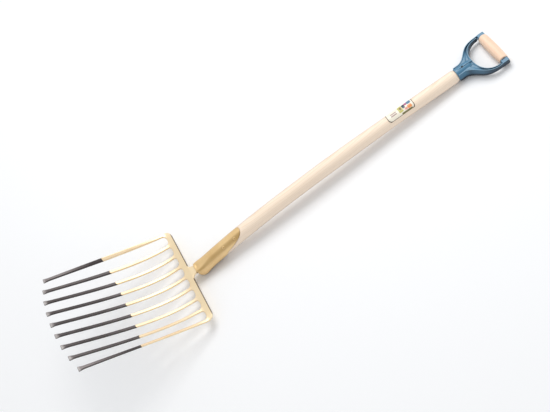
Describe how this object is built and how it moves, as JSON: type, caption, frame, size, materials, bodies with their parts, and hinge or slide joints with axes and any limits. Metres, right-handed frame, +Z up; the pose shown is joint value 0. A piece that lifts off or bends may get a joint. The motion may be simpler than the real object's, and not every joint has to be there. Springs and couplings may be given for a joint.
{
  "type": "nine-tine fork",
  "caption": "Wide dished garden fork with slim blunt-tipped tines, wrapped socket, curved wooden shaft and D-shaped handle with a turned wooden grip.",
  "frame": {"origin": "on the floor under the middle of the tool's box", "axes": "+X along the tool from the tines to the handle, +Y across it, +Z up with the tool lying on its back and the tips raised"},
  "size_m": [1.27, 0.3072, 0.1998],
  "materials": {
    "head_paint": "bronze-gold paint over steel; the outer halves of the tines are dipped dark grey and the tips are worn to bare steel",
    "shaft_wood": "pale straight-grained ash, sanded and oiled",
    "grip_wood": "turned beech, sanded",
    "frame_plastic": "satin moulded blue",
    "bare_steel": "plain zinc-grey steel",
    "label_film": "printed film with a dark border and plain colour patches, no lettering"
  },
  "bodies": {
    "root": {"tine_head": "head_paint", "socket": "head_paint", "socket_weld": "head_paint", "socket_nail_lower": "head_paint", "socket_nail_upper": "head_paint", "shaft": "shaft_wood", "d_frame": "frame_plastic", "frame_nail": "bare_steel", "grip": "grip_wood", "grip_rod": "bare_steel", "label": "label_film"}
  },
  "joints": []
}
